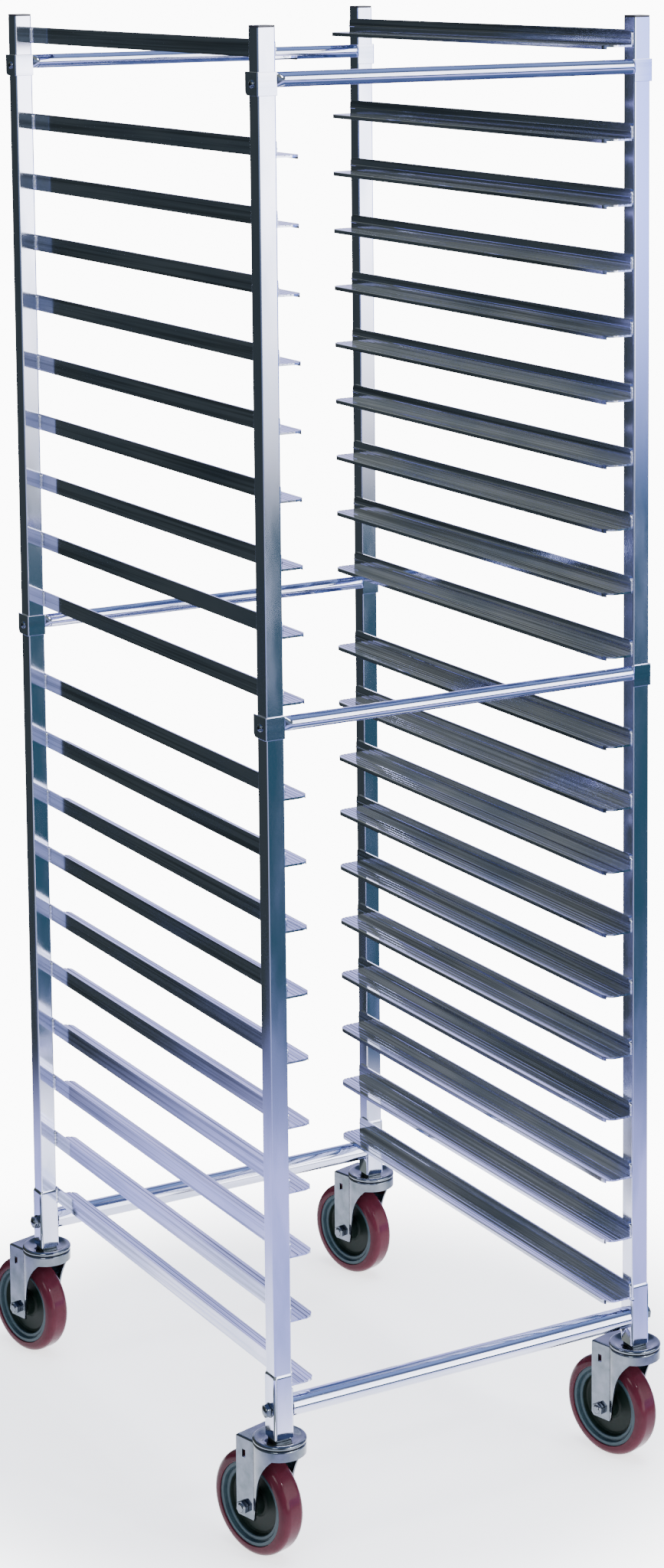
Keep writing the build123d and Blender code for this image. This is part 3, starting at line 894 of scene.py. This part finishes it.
# %% Sleeve
half_sleeve = sleeve_size / MM / 2
WALL = 1.6
WEB = 20.0
band = 3.6
tall = (sleeve_top - foot_height) / MM
shell = prism("sleeve", plan(square(half_sleeve, 3.4), 0), Vector((0, 0, tall - band)) * MM)
bpy.ops.mesh.select_all(action="DESELECT")
bpy.ops.mesh.select_mode(type="FACE")
rest()
for face in shell.data.polygons:
    face.select = (shell.matrix_world @ face.center).z > (tall - band - 0.1) * MM
pick(shell)
bpy.ops.object.mode_set(mode="EDIT")
bpy.ops.mesh.extrude_region_move(TRANSFORM_OT_translate={"value": Vector((0, 0, band)) * MM})
narrow = (half_sleeve - 1.3) / half_sleeve
bpy.ops.transform.resize(value=(narrow, narrow, 1), center_override=Vector((0, 0, tall)) * MM)
bpy.ops.mesh.select_mode(type="VERT")
bore = prism("bore", plan(square(half_sleeve - WALL, 1.9), -1), Vector((0, 0, tall + 2)) * MM)
cut(shell, bore)
web_foot = box_of("runner_pair_20")[1].z - WEB * MM
notch_z = (web_foot - foot_height) / MM - 1.5
past = half_sleeve + 1
notch = [(half_sleeve - 3.0, -past), (past, -past), (past, past), (half_sleeve - 3.0, past)]
cut(shell, prism("notch", plan(notch, notch_z), Vector((0, 0, tall)) * MM))
coat(shell, upright_aluminium)
shells = {"l": shell, "r": mirrored(copy_to(shell, "right_shell", Matrix()))}
for shape in shells.values():
    polish(shape, 0.35 * MM, 2, 24)
for corner in CORNERS:
    piece = copy_to(shells[corner[1]], "sleeve_shape_" + corner, at_corner(corner, foot_height))
    place_piece(piece, "rack", "aluminium", "sleeve_" + corner)
for shape in shells.values():
    print(shape.name, len(shape.data.polygons), "faces")
    bpy.data.objects.remove(shape)

# %% [markdown]
# ## Runners
# A runner is one extruded angle: an upright web with a bead along it, a ledge with fine grooves
# that let a pan slide, and a lip that turns down at the free edge. Grooves could be painted as a
# relief, but then they would vanish at the ends, where the profile shows. So the whole outline
# is pushed out to its length as the die does it, and the corners are cut off round afterwards,
# as a press does. One pair is made and copied to all twenty tiers.

# %% Runner pair
low, high = box_of("runner_pair_01")
LONG = (high.y - low.y) / MM
WEB_FACE = (high.x - low.x) / 2 / MM
LEDGE = 34.0
LEDGE_TOP = 2.4
LIP = 5.0
GAUGE = 2.0
LEDGE_CORNER = 14
WEB_CORNER = 5
runner_y = (low.y + high.y) / 2
free = WEB_FACE - LEDGE


def groove(x):
    """A shallow groove in the ledge's top, walked from the web to the free edge."""
    return [(x + 0.75, LEDGE_TOP), (x + 0.4, LEDGE_TOP - 0.8), (x - 0.4, LEDGE_TOP - 0.8),
            (x - 0.75, LEDGE_TOP)]


outline = [(WEB_FACE, 0.0), (WEB_FACE, WEB), (WEB_FACE - GAUGE, WEB), (WEB_FACE - GAUGE, 11.0),
           (WEB_FACE - 2.7, 10.6), (WEB_FACE - 2.7, 9.4), (WEB_FACE - GAUGE, 9.0),
           (WEB_FACE - GAUGE, LEDGE_TOP)]
for i in (3, 2, 1, 0):
    outline += groove(free + 6.0 + 5.5 * i)
outline += [(free + 0.6, LEDGE_TOP), (free, LEDGE_TOP - 0.7), (free, LEDGE_TOP - LIP),
            (free + 2.4, LEDGE_TOP - LIP), (free + 2.4, 0.0)]
runner = prism("runner", [Vector((x, -LONG / 2, z)) * MM for x, z in outline],
               Vector((0, LONG, 0)) * MM)
half_long = LONG / 2
ledge_plan = [(WEB_FACE + 1, -half_long), (WEB_FACE + 1, half_long)]
for sign, start in ((1, 90), (-1, 180)):
    ledge_plan += arc(free + LEDGE_CORNER, sign * (half_long - LEDGE_CORNER), LEDGE_CORNER,
                      start, start + 90, 8)
cut(runner, prism("ledge_plan", plan(ledge_plan, -LIP), Vector((0, 0, WEB + 2 * LIP)) * MM),
    "INTERSECT")
web_side = [(-half_long, -LIP), (half_long, -LIP)]
for sign, start in ((1, 0), (-1, 90)):
    web_side += arc(sign * (half_long - WEB_CORNER), WEB - WEB_CORNER, WEB_CORNER, start,
                    start + 90, 5)
cut(runner, prism("web_side", side(web_side, free - 1), Vector((LEDGE + 3, 0, 0)) * MM),
    "INTERSECT")
twin = mirrored(copy_to(runner, "twin", Matrix()))
runner_pair = join("runner_pair", [polish(piece, 0.18 * MM, 1, 32) for piece in (runner, twin)])
coat(runner_pair, runner_aluminium)
for tier in TIERS:
    node_name = "runner_pair_%02d" % tier
    low, high = box_of(node_name)
    place = Vector((rack_middle.x, runner_y, high.z - WEB * MM))
    piece = copy_to(runner_pair, node_name + "_shape", Matrix.Translation(place))
    place_piece(piece, "rack", "aluminium", node_name)
print("runner pair", len(runner_pair.data.polygons), "faces")
bpy.data.objects.remove(runner_pair)

# %% [markdown]
# ## Welds
# Each runner is welded to its posts by short upright beads, one in the corner behind the post's
# edge and one at the runner's end. A bead is a row of overlapping puddles. Sculpting would give
# the finest ones, but there are 160 of them, so a small ring is pushed upwards, made wider and
# narrower by turns, and copied, with few faces in each.

# %% Weld beads
def bead(name, radius, length, puddles):
    """An upright rippled bead, standing on the floor."""
    step = length / (2 * puddles)
    stops = [((0, 0, 0), (0.35, 0.35, 1))]
    for i in range(2 * puddles - 1):
        wide = 1.0 if i % 2 else 0.84
        drift = 0.12 * math.sin(2.1 * i) * radius
        stops.append((Vector((drift, -drift, step)) * MM, (wide, wide, 1)))
    stops.append((Vector((0, 0, step)) * MM, (0.35, 0.35, 1)))
    piece = pushed_ring(name, (0, 0, 0), radius * MM, 8, (0, 0, 0), stops)
    return polish(piece, angle=60)


corner_bead = bead("corner_bead", 1.8, 19.0, 6)
end_bead = bead("end_bead", 1.3, 15.0, 5)
for corner in CORNERS:
    forward = -1 if corner[0] == "f" else 1
    outward = SIDEWAYS[corner[1]]
    middle = post_middle[corner]
    edge_x = middle.x - outward * post_size / 2
    inner_y = middle.y - forward * post_size / 2
    beads = []
    for tier in TIERS:
        low, high = box_of("runner_pair_%02d" % tier)
        foot = high.z - WEB * MM
        twist = Matrix.Rotation(1.3 * tier + outward, 4, "Z")
        spot = Vector((edge_x + outward * 0.5 * MM, inner_y - forward * 0.5 * MM,
                       foot + 0.4 * MM))
        beads.append(copy_to(corner_bead, "bead", Matrix.Translation(spot) @ twist))
        end_y = low.y if forward < 0 else high.y
        spot = Vector((edge_x - outward * 0.4 * MM, end_y, foot + 1.5 * MM))
        beads.append(copy_to(end_bead, "bead", Matrix.Translation(spot) @ twist))
    welds = join("welds_" + corner, beads)
    coat(welds, weld)
    place_piece(welds, "rack", "aluminium")
bpy.data.objects.remove(corner_bead)
bpy.data.objects.remove(end_bead)
print("welds on", len(CORNERS), "posts")

# %% [markdown]
# ## Floor
# The rack stands on a plain pale floor. A large plane would end in a visible horizon, so the
# floor is a disc that fades out round the rack and leaves only the soft shadows.

# %% Floor
def pale_floor():
    """Nearly white, and clear towards its edge."""
    finish, shader = new_finish("pale_floor", (0.93, 0.93, 0.95), 0.0, 0.9)
    shader.inputs["Emission Color"].default_value = (1, 1, 1, 1)
    shader.inputs["Emission Strength"].default_value = 1.8
    place = node(finish, "ShaderNodeTexCoord")
    length = node(finish, "ShaderNodeVectorMath", operation="LENGTH")
    fade = node(finish, "ShaderNodeMapRange", interpolation_type="SMOOTHSTEP",
                **{"From Min": 0.42, "From Max": 0.9})
    clear = node(finish, "ShaderNodeBsdfTransparent")
    mix = node(finish, "ShaderNodeMixShader")
    wire(finish, place.outputs["Object"], length.inputs[0])
    wire(finish, length.outputs["Value"], fade.inputs["Value"])
    wire(finish, fade.outputs["Result"], mix.inputs["Fac"])
    wire(finish, shader.outputs["BSDF"], mix.inputs[1])
    wire(finish, clear.outputs["BSDF"], mix.inputs[2])
    wire(finish, mix.outputs["Shader"], finish.node_tree.nodes["Material Output"].inputs["Surface"])
    return finish


rest()
bpy.ops.mesh.primitive_circle_add(vertices=64, radius=1.6, fill_type="NGON",
                                  location=(0, 0, -0.0003))
floor = bpy.context.object
floor.name = "floor"
coat(floor, pale_floor())
print("floor", floor.name)

# %% [markdown]
# ## Room
# Bright metal shows the room more than itself. White cards on stands would light it as a studio
# does, but gradients in the world do the same with fewer parts: a light side, a dark side, and
# bands that change with height. Straight behind the rack it is plain white.

# %% Helpers for the room
room = bpy.data.worlds.new("room")
bpy.context.scene.world = room
room.use_nodes = True


def room_ramp(*stops):
    """Colours that follow each other round the room."""
    ramp = node(room, "ShaderNodeValToRGB")
    ramp.color_ramp.interpolation = "EASE"
    points = ramp.color_ramp.elements
    while len(points) < len(stops):
        points.new(0.5)
    for point, (place, colour) in zip(points, stops):
        point.position = place
    for point, (place, colour) in zip(points, stops):
        point.color = (*colour, 1)
    return ramp


def room_mix(factor, first, second):
    """From a first colour to a second by a factor."""
    mix = node(room, "ShaderNodeMix", data_type="RGBA")
    wire(room, factor, mix.inputs["Factor"])
    wire(room, first, mix.inputs["A"])
    wire(room, second, mix.inputs["B"])
    return mix.outputs["Result"]


def room_step(value, low, high):
    """A soft step from nought to one."""
    step = node(room, "ShaderNodeMapRange", interpolation_type="SMOOTHSTEP",
                **{"From Min": low, "From Max": high})
    wire(room, value, step.inputs["Value"])
    return step.outputs["Result"]


def room_colour(*colour):
    """One fixed colour."""
    paint = node(room, "ShaderNodeRGB")
    paint.outputs["Color"].default_value = (*colour, 1)
    return paint.outputs["Color"]


print("ready: room_ramp, room_mix, room_step, room_colour")

# %% [markdown]
# ## Colours round the room
# The way that a reflection looks is split into a turn round the room and a height. The turn
# picks a colour from three ramps, one for each band of height, and the height chooses the band.

# %% Room
backdrop = room.node_tree.nodes["Background"]
way = node(room, "ShaderNodeTexCoord")
parts = node(room, "ShaderNodeSeparateXYZ")
turn = node(room, "ShaderNodeMath", operation="ARCTAN2")
share = node(room, "ShaderNodeMapRange", **{"From Min": -math.pi, "From Max": math.pi})
wire(room, way.outputs["Generated"], parts.inputs["Vector"])
wire(room, parts.outputs["Y"], turn.inputs[0])
wire(room, parts.outputs["X"], turn.inputs[1])
wire(room, turn.outputs["Value"], share.inputs["Value"])
LILAC = (0.135, 0.14, 0.26)
SLATE = (0.0065, 0.0085, 0.0085)
TEAL = (0.005, 0.015, 0.021)
SHADE = (0.040, 0.044, 0.036)
WHITE = (1.0, 1.0, 1.0)
walls = room_ramp((0.0, (0.04, 0.05, 0.07)), (0.2, (0.02, 0.026, 0.024)), (0.27, WHITE),
                  (0.333, WHITE), (0.349, (0.15, 0.2, 0.5)), (0.42, (0.14, 0.18, 0.42)),
                  (0.5, (0.12, 0.13, 0.2)), (0.66, (0.22, 0.22, 0.36)), (0.745, SLATE),
                  (0.9, SLATE), (1.0, (0.04, 0.05, 0.07)))
skirting = room_ramp((0.0, SLATE), (0.17, (0.1, 0.11, 0.15)), (0.27, TEAL), (0.40, TEAL),
                     (0.5, (0.04, 0.06, 0.1)), (0.67, (0.1, 0.11, 0.16)), (0.78, SLATE),
                     (1.0, SLATE))
upper_walls = room_ramp((0.0, SHADE), (0.24, (0.02, 0.026, 0.03)), (0.29, (0.8, 0.8, 0.8)),
                        (0.38, (0.8, 0.8, 0.8)), (0.46, (0.02, 0.026, 0.04)),
                        (0.66, (0.15, 0.15, 0.25)), (0.69, (0.15, 0.15, 0.25)),
                        (0.76, SHADE), (1.0, SHADE))
for ramp in (upper_walls, walls, skirting):
    wire(room, share.outputs["Result"], ramp.inputs["Fac"])

height = parts.outputs["Z"]
whole = room_mix(room_step(height, -0.66, -0.60), room_colour(0.02, 0.03, 0.06),
                 room_colour(*LILAC))
for low, high, above in ((-0.37, -0.33, skirting.outputs["Color"]),
                         (-0.19, -0.07, walls.outputs["Color"]),
                         (0.06, 0.12, upper_walls.outputs["Color"]),
                         (0.52, 0.58, room_colour(0.022, 0.03, 0.05)),
                         (0.74, 0.80, room_colour(0.05, 0.07, 0.13))):
    whole = room_mix(room_step(height, low, high), whole, above)
wire(room, whole, backdrop.inputs["Color"])
backdrop.inputs["Strength"].default_value = 8.0
seen = node(room, "ShaderNodeBackground", Color=(1.0, 1.0, 1.0, 1), Strength=11.0)
rays = node(room, "ShaderNodeLightPath")
choose = node(room, "ShaderNodeMixShader")
wire(room, rays.outputs["Is Camera Ray"], choose.inputs["Fac"])
wire(room, backdrop.outputs["Background"], choose.inputs[1])
wire(room, seen.outputs["Background"], choose.inputs[2])
wire(room, choose.outputs["Shader"], room.node_tree.nodes["World Output"].inputs["Surface"])
print("room", len(room.node_tree.nodes), "nodes")

# %% [markdown]
# ## Lamps
# A wide lamp overhead gives soft shadows under the casters. It isn't seen in reflections, since
# it would paint every tube's top white. A second one lights the front and left, and a small one
# puts sparks on nuts and rims. Sun lamps would be simpler, but their shadows are hard.

# %% Lamps
def soft_lamp(name, place, aim, size, power):
    """A square lamp that looks at a point."""
    rest()
    bpy.ops.object.light_add(type="AREA", location=place)
    lamp = bpy.context.object
    lamp.name = name
    lamp.data.shape = "SQUARE"
    lamp.data.size = size
    lamp.data.energy = power
    way_to = Vector(aim) - Vector(place)
    lamp.rotation_euler = way_to.to_track_quat("-Z", "Y").to_euler()
    return lamp


top_light = soft_lamp("top_light", (0.4, -0.3, 4.2), (0, 0, 0.5), 3.0, 260)
top_light.visible_glossy = False
soft_lamp("key_light", (-3.6, -3.2, 3.6), (0, 0, 0.6), 1.6, 90)
soft_lamp("spark_light", (1.2, -3.4, 3.0), (0, 0, 0.1), 0.16, 45)
print("lamps placed")

# %% [markdown]
# ## Camera
# The camera looks down a little from head height at the rack's left front corner. Tilting it
# further would make the posts lean together, so it is kept nearly level and its frame is
# shifted down, as with a view camera.

# %% Camera
STAND = (-1.9311, -3.4523, 1.8660)
TURN = (82.682, 0.579, -29.516)
stand = (rack_middle.x + STAND[0], rack_middle.y + STAND[1], STAND[2])
bpy.ops.object.camera_add(location=stand, rotation=[math.radians(angle) for angle in TURN])
camera = bpy.context.object
camera.name = "camera"
camera.data.sensor_width = 36.0
camera.data.lens = 75.17
camera.data.shift_y = -0.28
bpy.context.scene.camera = camera
print("camera at", [round(value, 3) for value in camera.location])
